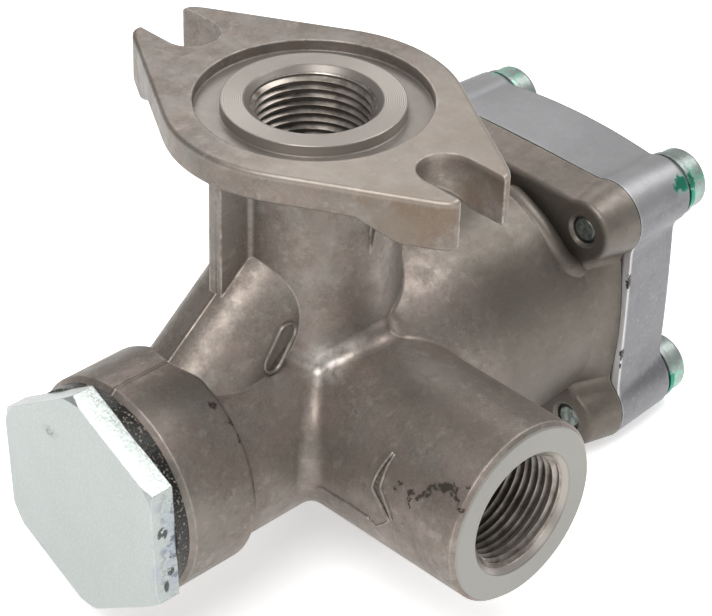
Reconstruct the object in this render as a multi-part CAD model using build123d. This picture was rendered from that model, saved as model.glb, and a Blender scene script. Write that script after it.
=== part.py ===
"""Pressure limiting valve: cast body with flange, spring cover, hex plug and inner parts.

Millimetres, +Z up. The origin is the centre of the flange's top face, on port 1's axis. While
modelling it is where the axes of port 1 (+Z), port 2 (-Y) and the piston (X) meet, and every
piece moves down by TOP_Z at the end. The hex plug is at -X, the cover at +X.
"""
import math
import os

from build123d import *

# Body along X: collar for the plug, neck, drum round the piston, square flange
COLLAR_R, COLLAR_FRONT, COLLAR_REAR = 19.2, -43.5, -29.5
NECK_R = 17.5
NECK_END_INSET = 6.0
ROOT_ROUND, SMALL_ROUND, EDGE_CHAMFER = 3.0, 1.0, 0.9
DRUM_R, DRUM_FRONT, DRUM_ROUND = 24.0, 3.0, 3.0
GROOVE_FRONT, GROOVE_R = 41.3, 20.5
FLANGE_REAR, JOINT_X = 45.5, 53.0
SCREW_OFFSET, CORNER_R, BLEND_R = 20.0, 7.0, 3.0
JOINT_SIDES, JOINT_SIDE_ENDS = (26.4, 24.3), (26.3, 23.4)
REAR_CORNER_R, REAR_SIDES, REAR_SIDE_ENDS = 5.6, (25.2, 23.9), (25.0, 20.6)
REAR_ROUND = 1.0
POCKET_R, POCKET_HALF_ANGLE = 6.6, 45.0

# Stem, top flange and port 1 along Z
STEM_R = 15.0
TOP_Z, DISC_BOTTOM, EAR_BOTTOM = 55.3, 50.1, 46.6
TOP_ROUND, UNDER_ROUND = 0.8, 0.5
DISC_R = 24.5
EAR_R, EAR_Y, EAR_TIP_Y = 9.5, 29.7, 37.0
SLOT_HALF_WIDTH, SLOT_CENTRE_Y = 4.9, 29.5
EAR_CORNER_R, RAMP_TOP_Y, RAMP_FOOT_Y, RAMP_ROUND = 2.0, 23.5, 29.5, 4.0
RECESS_R, RING_R, RECESS_DEPTH = 19.4, 15.0, 2.0
RIB_T, RIB_X, RIB_FOOT_Z = 2.8, -21.3, 26.0
FIN_T, FIN_TOP_Y, FIN_FOOT_Z = 2.8, 18.6, 33.0

# Inclined duct from the stem down to the inlet chamber
DUCT_R, DUCT_BORE_R = 9.5, 6.0
DUCT_SLOPE = 39.3
DUCT_Z0 = 32.8
DUCT_FOOT_X, DUCT_BORE_FOOT_X, DUCT_BORE_TOP_X = -36.0, -29.0, 2.0

# Port 2 along -Y
BOSS_R, BOSS_DRAFT, BOSS_FACE_Y = 16.2, 0.3, -49.6

# Both ports: M22 x 1.5, cut at the tapped radius
PORT_R, PORT_MOUTH_R, PORT_THREAD_L = 10.2, 11.2, 15.0
PASSAGE_R = 8.2

# Hex plug and its seal
HEX_AF, HEX_T, HEX_TURN = 36.0, 4.6, 26.4
SEAL_T, SEAL_OUT_R = 2.4, 18.4
PLUG_R, PLUG_L, PLUG_BORE_R, PLUG_FLOOR_T = 14.6, 9.6, 11.2, 1.4
THREAD_GAP = 0.05
GUIDE_R, GUIDE_BORE_R, GUIDE_L = 6.4, 3.5, 6.0

# Inlet valve, seat and chambers
INLET_R, SEAT_X, SEAT_BORE_R, LIP_R, LIP_H = 12.5, -17.0, 6.0, 7.2, 1.0
SEAT_WALL = 3.5
VALVE_LIFT, SEATED_GAP = 2.0, 0.05
CARRIER_R, CARRIER_T, RUBBER_R, RUBBER_T, RUBBER_PROUD = 9.4, 3.6, 8.0, 3.0, 0.8
VALVE_STEM_R = 3.44
OUTLET_R, OUTLET_REAR = 11.0, 10.0
WALL_REAR = 15.0
BUSH_R = 6.5
BALANCE_R, BALANCE_OFFSET = 1.2, 9.0

# Piston, tube and control spring
BORE_R, BORE_END, SPRING_ROOM_R = 16.5, 34.0, 17.3
RUN_GAP, STOP_GAP = 0.08, 0.3
PISTON_T, HUB_R, HUB_L = 13.2, 9.3, 4.5
PO_X, PO_W, PO_FLOOR = 3.0, 2.8, 14.4
GR_X, GR_W, GR_FLOOR, GR_GAP = 8.5, 3.4, 15.3, 0.02
TUBE_R, TUBE_BORE_R, TUBE_GAP = 4.0, 2.0, 0.05
WASHER_IN, WASHER_OUT, WASHER_T = 9.6, 14.8, 0.8
SPRING_WIRE, SPRING_MEAN_R, SPRING_TURNS = 4.0, 12.2, 6.0
PLATE_R, PLATE_T, PLATE_HUB_L, PLATE_BORE_R = 15.0, 2.2, 3.5, 5.2
SHIMS = (1.0, 0.5)

# Cover, its screws, seal and vent
COVER_BACK, COVER_WALL, BOSS_BACK = 67.3, 3.0, 67.8
COVER_FRONT_SIDES, COVER_FRONT_ENDS = (26.5, 25.4), (26.2, 25.3)
COVER_BACK_R, COVER_BACK_SIDES, COVER_BACK_ENDS = 6.3, (26.8, 23.5), (25.6, 23.3)
COVER_BLEND_R, COVER_ROUND, HEAD_ROUND = 4.0, 0.8, 0.8
SCREW_R, SCREW_TIP_X, CLEAR_R, HOLE_CHAMFER = 2.5, 46.1, 2.75, 0.5
WASHER_FLANGE_R, WASHER_FLANGE_T = 6.0, 1.0
HEAD_R, HEAD_T, SOCKET_AF, SOCKET_D = 5.6, 4.8, 4.0, 2.4
RING_MEAN_R, RING_SECTION_R, RING_SIDE = 20.6, 0.8, 0.3
VENT_HOLES, VENT_HOLE_R, VENT_PITCH_R = 4, 1.4, 4.4
FLAP_R, FLAP_T, FLAP_STEM_R = 7.0, 1.0, 1.6
VENT_WALL_IN, VENT_WALL_OUT, VENT_WALL_H = 8.2, 10.0, 2.2

# Valve spring and small rings
VS_WIRE, VS_MEAN_R, VS_TURNS = 1.5, 8.4, 6.0
STEM_RING_X, STEM_RING_W, STEM_RING_FLOOR = 2.4, 2.0, 5.2


def rod(r, x0, x1, r1=None):
    """Solid round X between two stations, tapering to r1 if given."""
    plane = Plane(origin=(x0, 0, 0), x_dir=(0, 1, 0), z_dir=(1, 0, 0))
    if r1 is None or abs(r1 - r) < 1e-9:
        return plane * Cylinder(r, x1 - x0, align=(Align.CENTER, Align.CENTER, Align.MIN))
    return plane * Cone(r, r1, x1 - x0, align=(Align.CENTER, Align.CENTER, Align.MIN))


def along(origin, direction, r, length, r1=None):
    """Solid round a line from a point."""
    plane = Plane(origin=origin, z_dir=direction)
    if r1 is None:
        return plane * Cylinder(r, length, align=(Align.CENTER, Align.CENTER, Align.MIN))
    return plane * Cone(r, r1, length, align=(Align.CENTER, Align.CENTER, Align.MIN))


def tube(r_out, r_in, x0, x1):
    return rod(r_out, x0, x1) - rod(r_in, x0 - 1, x1 + 1)


def ring(mean_r, section_r, x):
    """Round-section ring about X."""
    return Plane(origin=(x, 0, 0), z_dir=(1, 0, 0)) * Torus(mean_r, section_r)


def lobed_square(corner_r, sides, side_ends, blend_r):
    """Square with a round lobe at each screw; its sides are bowed and blend into the lobes.

    sides are how far out the middle of the +-Z and +-Y sides lie, side_ends the same where the
    blends begin.
    """
    def run_of(end):
        rise = end + blend_r - SCREW_OFFSET
        return SCREW_OFFSET - math.sqrt((corner_r + blend_r) ** 2 - rise ** 2)

    lobe = Vector(-SCREW_OFFSET, SCREW_OFFSET)
    curves = []
    for k in range(4):
        def turned(*points):
            return [point.rotate(Axis.Z, 90 * k) for point in points]

        end, following = side_ends[k % 2], side_ends[(k + 1) % 2]
        start, stop = Vector(run_of(end), end), Vector(-run_of(end), end)
        onward = Vector(-following, run_of(following))
        first, second = stop + Vector(0, blend_r), onward - Vector(blend_r, 0)
        on_first, on_second = (lobe + (centre - lobe).normalized() * corner_r
                               for centre in (first, second))
        half_first = first + ((stop - first) + (on_first - first)).normalized() * blend_r
        half_second = second + ((onward - second) + (on_second - second)).normalized() * blend_r
        tip = lobe + lobe.normalized() * corner_r
        for points in ((start, Vector(0, sides[k % 2]), stop), (stop, half_first, on_first),
                       (on_first, tip, on_second), (on_second, half_second, onward)):
            curves.append(ThreePointArc(*turned(*points)))
    return Face(Wire(curves))


def on_x(profile, x):
    """A profile drawn in XY, placed square to X."""
    return Plane(origin=(x, 0, 0), x_dir=(0, 1, 0), z_dir=(1, 0, 0)) * profile


def screw_axes():
    return [(y, z) for y in (-SCREW_OFFSET, SCREW_OFFSET) for z in (-SCREW_OFFSET, SCREW_OFFSET)]


def at_screw(shape, y, z):
    return Pos(0, y, z) * shape


def coil(wire_d, mean_r, turns, x0, x1):
    """Spring about X with ground ends between two stations."""
    length = x1 - x0
    pitch = (length + wire_d * 0.4) / turns
    height = pitch * turns
    path = Helix(pitch, height, mean_r)
    start = path @ 0
    section = Plane(origin=start, z_dir=path % 0) * Circle(wire_d / 2)
    spring = sweep(section, path=path, is_frenet=True)
    spring = Pos(x0 - wire_d * 0.2, 0, 0) * (Rot(0, 90, 0) * spring)
    return spring & rod(mean_r + wire_d * 2, x0, x1)


def duct_axis():
    d = (math.cos(math.radians(DUCT_SLOPE)), 0, math.sin(math.radians(DUCT_SLOPE)))
    return d, lambda x: (x, 0, DUCT_Z0 + x * d[2] / d[0])


def flange_outline():
    """Disc, tapering flanks and rounded ears, seen from above."""
    left = make_hull(Circle(DISC_R).edges() + (Pos(0, EAR_Y) * Circle(EAR_R)).edges())
    right = make_hull(Circle(DISC_R).edges() + (Pos(0, -EAR_Y) * Circle(EAR_R)).edges())
    both = (left + right) & Rectangle(4 * DISC_R, 2 * EAR_TIP_Y)
    tips = [v for v in both.vertices() if abs(abs(v.Y) - EAR_TIP_Y) < 1e-6]
    return fillet(tips, EAR_CORNER_R)


def slots():
    one = Pos(0, SLOT_CENTRE_Y) * Circle(SLOT_HALF_WIDTH)
    one += Pos(0, (SLOT_CENTRE_Y + 2 * EAR_TIP_Y) / 2) * Rectangle(
        2 * SLOT_HALF_WIDTH, 2 * EAR_TIP_Y - SLOT_CENTRE_Y)
    return one + mirror(one, about=Plane.XZ)


def run_on(shape, test):
    """The edges where two round shapes run into each other, where the test says."""
    return [e for e in shape.edges() if e.geom_type in (GeomType.BSPLINE, GeomType.ELLIPSE)
            and all(test(e @ k) for k in (0.12, 0.5, 0.88))]


def on_drum(p):
    r = math.hypot(p.Y, p.Z)
    near = abs(r - DRUM_R) < 0.03 or DRUM_FRONT - 0.01 <= p.X <= DRUM_FRONT + DRUM_ROUND + 0.01
    return near and p.X < GROOVE_FRONT - 1 and r > NECK_R - 0.3


def make_body():
    d, at = duct_axis()
    collar = rod(COLLAR_R, COLLAR_FRONT, COLLAR_REAR)
    collar = chamfer(collar.edges().filter_by(GeomType.CIRCLE).group_by(Axis.X)[0], EDGE_CHAMFER)
    collar = fillet(collar.edges().filter_by(GeomType.CIRCLE).group_by(Axis.X)[-1], SMALL_ROUND)
    neck = rod(NECK_R, COLLAR_REAR - 1, GROOVE_FRONT - NECK_END_INSET)
    drum = rod(DRUM_R, DRUM_FRONT, FLANGE_REAR + 1)
    drum = fillet(drum.edges().filter_by(GeomType.CIRCLE).group_by(Axis.X)[0], DRUM_ROUND)
    reach = 2 * DRUM_R
    for side in (90, -90):
        sector = Plane.YZ * Polygon([(0, 0)] + [
            (reach * math.cos(math.radians(side + a)), reach * math.sin(math.radians(side + a)))
            for a in (-POCKET_HALF_ANGLE, 0, POCKET_HALF_ANGLE)], align=None)
        pocket = Pos(GROOVE_FRONT, 0, 0) * extrude(sector, amount=FLANGE_REAR - GROOVE_FRONT)
        for y, z in screw_axes():
            if z * side > 0:
                pocket += at_screw(rod(POCKET_R, GROOVE_FRONT, FLANGE_REAR), y, z)
        drum -= pocket - rod(GROOVE_R, GROOVE_FRONT - 1, FLANGE_REAR + 1)
    square = loft([on_x(lobed_square(REAR_CORNER_R, REAR_SIDES, REAR_SIDE_ENDS, BLEND_R),
                        FLANGE_REAR),
                   on_x(lobed_square(CORNER_R, JOINT_SIDES, JOINT_SIDE_ENDS, BLEND_R), JOINT_X)])
    square = fillet(square.faces().sort_by(Axis.X)[0].edges(), REAR_ROUND)
    boss = along((0, 0, 0), (0, -1, 0), BOSS_R + BOSS_DRAFT, -BOSS_FACE_Y, BOSS_R)
    boss = chamfer(boss.edges().filter_by(GeomType.CIRCLE).group_by(Axis.Y)[0], EDGE_CHAMFER)
    stem = along((0, 0, 0), (0, 0, 1), STEM_R, DISC_BOTTOM + 1)
    duct = along(at(DUCT_FOOT_X), d, DUCT_R, -DUCT_FOOT_X / d[0])
    outline = flange_outline()
    plate = Pos(0, 0, DISC_BOTTOM) * extrude(outline, amount=TOP_Z - DISC_BOTTOM)
    ramp = extrude(Plane.YZ * Polygon((RAMP_TOP_Y, DISC_BOTTOM + 0.5), (RAMP_TOP_Y, DISC_BOTTOM),
                                      (RAMP_FOOT_Y, EAR_BOTTOM), (50, EAR_BOTTOM),
                                      (50, DISC_BOTTOM + 0.5), align=None), amount=30, both=True)
    ramp = fillet(ramp.edges().filter_by(Axis.X).group_by(Axis.Z)[0].sort_by(Axis.Y)[0], RAMP_ROUND)
    column = Pos(0, 0, EAR_BOTTOM - 1) * extrude(outline, amount=DISC_BOTTOM - EAR_BOTTOM + 2)
    pads = (ramp + mirror(ramp, about=Plane.XZ)) & column
    head = (plate + pads).solids()[0]
    head = head.fillet(TOP_ROUND, head.edges().group_by(Axis.Z)[-1])
    under = [e for e in head.edges() if max((e @ k).Z for k in (0, 0.5, 1)) < DISC_BOTTOM + 0.01
             and (abs((e @ 0).Y - (e @ 1).Y) > 0.01 or abs((e @ 0).Y) > EAR_TIP_Y - 0.01)]
    head = head.fillet(UNDER_ROUND, under)
    rib_plan = Circle(STEM_R) + Pos(RIB_X / 2, 0) * Rectangle(-RIB_X, RIB_T)
    roots = [v for v in rib_plan.vertices() if abs(math.hypot(v.X, v.Y) - STEM_R) < 1e-6
             and abs(abs(v.Y) - RIB_T / 2) < 1e-6]
    rib_plan = fillet(roots, SMALL_ROUND)
    rib = Pos(0, 0, RIB_FOOT_Z) * extrude(rib_plan, amount=DISC_BOTTOM + 1 - RIB_FOOT_Z)
    fin = extrude(Plane.YZ * Polygon((0, FIN_FOOT_Z), (STEM_R, FIN_FOOT_Z),
                                     (FIN_TOP_Y, DISC_BOTTOM + 0.5), (0, DISC_BOTTOM + 0.5), align=None),
                  amount=FIN_T / 2, both=True)
    core = (neck + boss + stem).solids()[0]
    core = core.fillet(ROOT_ROUND, run_on(core, lambda p: p.Z < DISC_BOTTOM))
    core = (core + duct + drum).solids()[0]
    core = core.fillet(SMALL_ROUND, run_on(core, on_drum))
    core = (core + collar + rib + fin + mirror(fin, about=Plane.XZ)).solids()[0]
    body = core + head + square
    recess = Pos(0, 0, TOP_Z - RECESS_DEPTH) * extrude(Circle(RECESS_R) - Circle(RING_R),
                                                       amount=2 * RECESS_DEPTH)
    body = body - recess
    body -= Pos(0, 0, EAR_BOTTOM - 5) * extrude(slots(), amount=30)
    return body - body_bores()


def body_bores():
    d, at = duct_axis()
    cuts = rod(PLUG_R, COLLAR_FRONT - 1, COLLAR_FRONT + PLUG_L + 1.5)
    cuts += rod(INLET_R, COLLAR_FRONT + PLUG_L, SEAT_X)
    cuts -= tube(LIP_R, SEAT_BORE_R, SEAT_X - LIP_H, SEAT_X + 0.01)
    cuts += rod(SEAT_BORE_R, SEAT_X - 2, SEAT_X + SEAT_WALL + 1)
    cuts += rod(OUTLET_R, SEAT_X + SEAT_WALL, OUTLET_REAR)
    cuts += rod(BUSH_R, OUTLET_REAR - 1, WALL_REAR + 1)
    cuts += Pos(0, 0, -BALANCE_OFFSET) * rod(BALANCE_R, OUTLET_REAR - 1, WALL_REAR + 1)
    cuts += rod(BORE_R, WALL_REAR, BORE_END + 1)
    cuts += rod(BORE_R, BORE_END, BORE_END + 0.8, SPRING_ROOM_R)
    cuts += rod(SPRING_ROOM_R, BORE_END + 0.8, JOINT_X + 1)
    cuts += along(at(DUCT_BORE_FOOT_X), d, DUCT_BORE_R,
                  (DUCT_BORE_TOP_X - DUCT_BORE_FOOT_X) / d[0])
    cuts += along((0, 0, TOP_Z - PORT_THREAD_L - 4), (0, 0, 1), PASSAGE_R, PORT_THREAD_L)
    cuts += along((0, 0, TOP_Z - PORT_THREAD_L), (0, 0, 1), PORT_R, PORT_THREAD_L + 1)
    mouth = PORT_MOUTH_R - PORT_R
    cuts += along((0, 0, TOP_Z - mouth), (0, 0, 1), PORT_R, mouth + 0.001, PORT_MOUTH_R)
    cuts += along((0, 0, 0), (0, -1, 0), PASSAGE_R, -BOSS_FACE_Y - PORT_THREAD_L + 1)
    cuts += along((0, BOSS_FACE_Y + PORT_THREAD_L, 0), (0, -1, 0), PORT_R, PORT_THREAD_L + 1)
    cuts += along((0, BOSS_FACE_Y + mouth, 0), (0, -1, 0), PORT_R, mouth + 0.001, PORT_MOUTH_R)
    depth = 2 * RING_SECTION_R
    cuts += tube(RING_MEAN_R + RING_SECTION_R + RING_SIDE, RING_MEAN_R - RING_SECTION_R - RING_SIDE,
                 JOINT_X - depth, JOINT_X + 1)
    for y, z in screw_axes():
        hole_r = SCREW_R + THREAD_GAP
        cuts += at_screw(rod(hole_r, FLANGE_REAR - 1, JOINT_X + 1), y, z)
        cuts += at_screw(rod(hole_r + HOLE_CHAMFER, FLANGE_REAR, FLANGE_REAR + HOLE_CHAMFER,
                             hole_r), y, z)
    return cuts


def make_cover():
    shell = loft([on_x(lobed_square(CORNER_R, COVER_FRONT_SIDES, COVER_FRONT_ENDS,
                                    COVER_BLEND_R), JOINT_X),
                  on_x(lobed_square(COVER_BACK_R, COVER_BACK_SIDES, COVER_BACK_ENDS,
                                    COVER_BLEND_R), COVER_BACK)])
    shell = fillet(shell.faces().sort_by(Axis.X)[-1].edges(), COVER_ROUND)
    for y, z in screw_axes():
        shell += at_screw(rod(COVER_BACK_R - COVER_ROUND, COVER_BACK - 1, BOSS_BACK), y, z)
    shell += tube(VENT_WALL_OUT, VENT_WALL_IN, COVER_BACK - 0.5, COVER_BACK + VENT_WALL_H)
    shell -= rod(SPRING_ROOM_R, JOINT_X - 1, COVER_BACK - COVER_WALL)
    for y, z in screw_axes():
        shell -= at_screw(rod(CLEAR_R, JOINT_X - 1, BOSS_BACK + 1), y, z)
    shell -= rod(FLAP_STEM_R + 0.02, JOINT_X, COVER_BACK + 5)
    for k in range(VENT_HOLES):
        a = 2 * math.pi * k / VENT_HOLES
        shell -= at_screw(rod(VENT_HOLE_R, JOINT_X, COVER_BACK + 5),
                          VENT_PITCH_R * math.cos(a), VENT_PITCH_R * math.sin(a))
    return shell


def make_screws():
    screw = rod(SCREW_R - 0.6, SCREW_TIP_X, SCREW_TIP_X + 0.6, SCREW_R)
    screw += rod(SCREW_R, SCREW_TIP_X + 0.6, BOSS_BACK)
    head = rod(HEAD_R, BOSS_BACK, BOSS_BACK + HEAD_T)
    head = fillet(head.edges().filter_by(GeomType.CIRCLE).group_by(Axis.X)[-1], HEAD_ROUND)
    head += rod(WASHER_FLANGE_R, BOSS_BACK, BOSS_BACK + WASHER_FLANGE_T)
    socket = Plane(origin=(BOSS_BACK + HEAD_T, 0, 0), z_dir=(1, 0, 0)) * RegularPolygon(
        SOCKET_AF / 2, 6, major_radius=False)
    screw += head - extrude(socket, amount=-SOCKET_D)
    return [at_screw(screw, y, z) for y, z in screw_axes()]


def make_plug():
    head_back = COLLAR_FRONT - SEAL_T
    hexagon = Plane(origin=(head_back - HEX_T, 0, 0), x_dir=(0, 1, 0), z_dir=(1, 0, 0)) * (
        RegularPolygon(HEX_AF / 2, 6, major_radius=False, rotation=HEX_TURN))
    corner_r = HEX_AF / math.sqrt(3)
    head = extrude(hexagon, amount=HEX_T)
    dome = rod(corner_r - 1.1, head_back - HEX_T, head_back - HEX_T + 0.7, corner_r + 0.15)
    head &= dome + rod(corner_r + 1, head_back - HEX_T + 0.7, head_back + 1)
    plug = head + rod(PLUG_R - THREAD_GAP, head_back, COLLAR_FRONT + PLUG_L)
    floor = head_back - HEX_T + 2.9
    plug -= rod(PLUG_BORE_R, floor, COLLAR_FRONT + PLUG_L + 1)
    guide_end = COLLAR_FRONT + PLUG_L - 1.0
    plug += rod(GUIDE_R, floor - 0.5, guide_end)
    plug -= rod(GUIDE_BORE_R, floor - 0.5, guide_end + 1)
    ring_x = guide_end - STEM_RING_X
    plug -= tube(STEM_RING_FLOOR, 1.0, ring_x - STEM_RING_W / 2, ring_x + STEM_RING_W / 2)
    return plug, floor, guide_end, ring_x


def make_inlet_valve(stem_end):
    face = SEAT_X - LIP_H - VALVE_LIFT
    back = face + RUBBER_PROUD - CARRIER_T - RUBBER_PROUD - 0.2
    rim = face - RUBBER_PROUD
    carrier = rod(CARRIER_R, back, rim)
    carrier -= rod(RUBBER_R, face - RUBBER_T, rim + 1)
    carrier += rod(VALVE_STEM_R, stem_end, back + 0.2)
    rubber = rod(RUBBER_R, face - RUBBER_T, face)
    return carrier, rubber, back, face


def make_piston():
    front = WALL_REAR + STOP_GAP
    back = front + PISTON_T
    piston = rod(BORE_R - RUN_GAP, front, back)
    piston = chamfer(piston.edges().filter_by(GeomType.CIRCLE), 0.6)
    piston += rod(HUB_R, back - 1, back + HUB_L)
    piston -= rod(TUBE_R, front - 1, back + HUB_L + 1)
    for x, w, floor in ((PO_X, PO_W, PO_FLOOR), (GR_X, GR_W, GR_FLOOR)):
        piston -= tube(BORE_R + 1, floor, front + x, front + x + w)
    ring_x = back + HUB_L - 3.0
    piston -= tube(TUBE_R + 1.4, TUBE_R - 1, ring_x - 0.9, ring_x + 0.9)
    return piston, front, back, ring_x


def main():
    plug, floor, guide_end, stem_ring_x = make_plug()
    valve, rubber, valve_back, face = make_inlet_valve(floor + 2.6)
    piston, front, back, tube_ring_x = make_piston()
    room_end = COVER_BACK - COVER_WALL
    plate_back = room_end - sum(SHIMS)
    shims, x = [], plate_back
    for t in SHIMS:
        shims.append(tube(PLATE_R - 0.6, PLATE_BORE_R, x, x + t))
        x += t
    plate = rod(PLATE_R, plate_back - PLATE_T, plate_back)
    plate += rod(HUB_R, plate_back - PLATE_T - PLATE_HUB_L, plate_back - PLATE_T)
    plate -= rod(PLATE_BORE_R, 0, 100)
    push_tube = tube(TUBE_R, TUBE_BORE_R, face + 1.5, back + HUB_L)
    push_tube += rod(TUBE_R - 1.0, face, face + 1.5, TUBE_R) - rod(TUBE_BORE_R, face - 1, face + 3)
    flap = rod(FLAP_R, COVER_BACK, COVER_BACK + 0.3) + rod(FLAP_R, COVER_BACK + 0.3,
                                                            COVER_BACK + FLAP_T, FLAP_R - 2.5)
    flap += rod(FLAP_STEM_R, room_end, COVER_BACK + 0.1)
    flap += rod(FLAP_STEM_R + 0.9, room_end - 0.7, room_end, FLAP_STEM_R + 0.9)
    pieces = {
        "body": make_body(),
        "cover": make_cover(),
        "cover_screws": Compound(children=make_screws()),
        "cover_seal": ring(RING_MEAN_R, RING_SECTION_R, JOINT_X - RING_SECTION_R),
        "hex_plug": plug,
        "plug_seal": tube(SEAL_OUT_R, PLUG_R + 0.1, COLLAR_FRONT - SEAL_T, COLLAR_FRONT),
        "inlet_valve": valve,
        "valve_rubber": rubber,
        "valve_spring": coil(VS_WIRE, VS_MEAN_R, VS_TURNS, floor, valve_back),
        "stem_o_ring": ring((VALVE_STEM_R + STEM_RING_FLOOR) / 2,
                            (STEM_RING_FLOOR - VALVE_STEM_R) / 2, stem_ring_x),
        "push_tube": push_tube,
        "rod_bush": tube(BUSH_R, TUBE_R + TUBE_GAP, OUTLET_REAR, WALL_REAR),
        "piston": piston,
        "piston_o_ring": ring((BORE_R + PO_FLOOR) / 2, (BORE_R - PO_FLOOR) / 2,
                              front + PO_X + PO_W / 2),
        "piston_guide_ring": tube(BORE_R - GR_GAP, GR_FLOOR, front + GR_X + 0.05,
                                  front + GR_X + GR_W - 0.05),
        "tube_o_ring": ring(TUBE_R + 0.7, 0.7, tube_ring_x),
        "spring_washer": tube(WASHER_OUT, WASHER_IN, back, back + WASHER_T),
        "control_spring": coil(SPRING_WIRE, SPRING_MEAN_R, SPRING_TURNS, back + WASHER_T,
                               plate_back - PLATE_T),
        "spring_plate": plate,
        "adjusting_shims": Compound(children=shims),
        "vent_flap": flap,
    }
    os.makedirs("parts", exist_ok=True)
    for name, shape in pieces.items():
        shape = Pos(0, 0, -TOP_Z) * shape
        shape.label = name
        export_step(shape, f"parts/{name}.step")
        print(name, round(shape.volume), len(shape.solids()))


main()
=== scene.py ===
"""Pressure limiting valve: finishes, threads and cast-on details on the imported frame.

Metres. The origin is the centre of the flange's top face; the hex plug is at -X, the spring
cover at +X, port 1 opens up along +Z and port 2 along -Y.
"""
import math

import bmesh
import bpy
from mathutils import Matrix, Vector


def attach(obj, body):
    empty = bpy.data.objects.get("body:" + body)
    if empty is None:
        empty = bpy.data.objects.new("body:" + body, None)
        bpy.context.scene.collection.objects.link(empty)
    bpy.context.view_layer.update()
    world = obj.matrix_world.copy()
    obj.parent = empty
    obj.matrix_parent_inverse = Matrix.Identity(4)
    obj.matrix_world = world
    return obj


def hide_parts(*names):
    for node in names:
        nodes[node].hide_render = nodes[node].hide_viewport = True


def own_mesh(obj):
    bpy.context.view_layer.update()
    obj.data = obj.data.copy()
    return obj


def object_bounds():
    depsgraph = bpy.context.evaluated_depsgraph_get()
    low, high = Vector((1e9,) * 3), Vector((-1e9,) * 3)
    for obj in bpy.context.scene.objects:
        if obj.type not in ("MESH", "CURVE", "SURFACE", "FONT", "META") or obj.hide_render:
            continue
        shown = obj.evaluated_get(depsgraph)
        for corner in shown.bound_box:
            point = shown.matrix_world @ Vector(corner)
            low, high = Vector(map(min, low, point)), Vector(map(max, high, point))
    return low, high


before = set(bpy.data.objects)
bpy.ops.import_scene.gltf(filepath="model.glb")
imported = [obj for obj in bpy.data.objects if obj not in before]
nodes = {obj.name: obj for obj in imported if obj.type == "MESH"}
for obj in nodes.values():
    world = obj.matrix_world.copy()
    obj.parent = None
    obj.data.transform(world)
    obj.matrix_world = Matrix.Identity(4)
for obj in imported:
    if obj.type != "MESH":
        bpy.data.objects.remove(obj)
cad_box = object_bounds()
MM = 0.001

# Sizes that the part's source has too, in millimetres
AXIS_Z = -55.3                       # height of port 2's and the piston's axes
PORT_MOUTH_R, THREAD_L = 11.2, 15.0
RING_R, RECESS_R, RECESS_DEPTH = 15.0, 19.4, 2.0
BOSS_FACE_Y, BOSS_R, BOSS_DRAFT = -49.6, 16.2, 0.3
DRUM_R, JOINT_X = 24.0, 53.0
PLUG_FACE_X, PLUG_FLAT_Y = -50.5, -18.0
SCREW_TIP_X = 46.1

# Sizes of what only this script has, in millimetres
PORT_PITCH, PORT_TURNS = 1.5, 10
THREAD_CREST_R, THREAD_ROOT_R, THREAD_TRIM_R = 9.45, 10.4, 10.32
THREAD_CREST_HALF, THREAD_ROOT_HALF = 0.07, 0.72
PAD_L, PAD_W, PAD_Y = 9.4, 4.4, -9.86
PAD_X, PAD_Z, PAD_TILT = -15.9, 19.3, -55
PAD_RIM, PAD_LIP, PAD_SINK, PAD_T, PAD_EDGE = 0.5, 0.12, 0.45, 1.5, 0.14
POCKET_RIM_W = 5.0
LATHE_FEED = 0.3                     # coarser than the real one, so that it shows
MERGE_GAP = 0.002


# Modelling helpers


def deselect():
    for piece in bpy.context.selected_objects:
        piece.select_set(False)


def only(piece):
    """Makes one piece the selected and active one."""
    deselect()
    piece.select_set(True)
    bpy.context.view_layer.objects.active = piece


def settle(piece):
    """Moves the object's place into its mesh, so that it sits at the origin."""
    only(piece)
    bpy.ops.object.transform_apply(location=True, rotation=True, scale=True)


def pick_faces(piece, test):
    """In edit mode, selects the faces whose middle passes the test."""
    bpy.ops.mesh.select_mode(type="FACE")
    bpy.ops.mesh.select_all(action="DESELECT")
    mesh = bmesh.from_edit_mesh(piece.data)
    for face in mesh.faces:
        if test(face.calc_center_median()):
            face.select_set(True)
    mesh.select_flush_mode()
    bmesh.update_edit_mesh(piece.data)


def apply_modifiers(piece):
    only(piece)
    for modifier in list(piece.modifiers):
        bpy.ops.object.modifier_apply(modifier=modifier.name)


def close_up(piece, smooth_angle=None):
    """Merges doubles, fills open ends and turns the faces outwards."""
    only(piece)
    bpy.ops.object.mode_set(mode="EDIT")
    bpy.ops.mesh.select_all(action="SELECT")
    bpy.ops.mesh.remove_doubles(threshold=MERGE_GAP * MM)
    bpy.ops.mesh.select_all(action="SELECT")
    bpy.ops.mesh.fill_holes(sides=0)
    bpy.ops.mesh.select_all(action="SELECT")
    bpy.ops.mesh.normals_make_consistent(inside=False)
    bpy.ops.object.mode_set(mode="OBJECT")
    if smooth_angle is not None:
        bpy.ops.object.shade_smooth_by_angle(angle=math.radians(smooth_angle))


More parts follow.
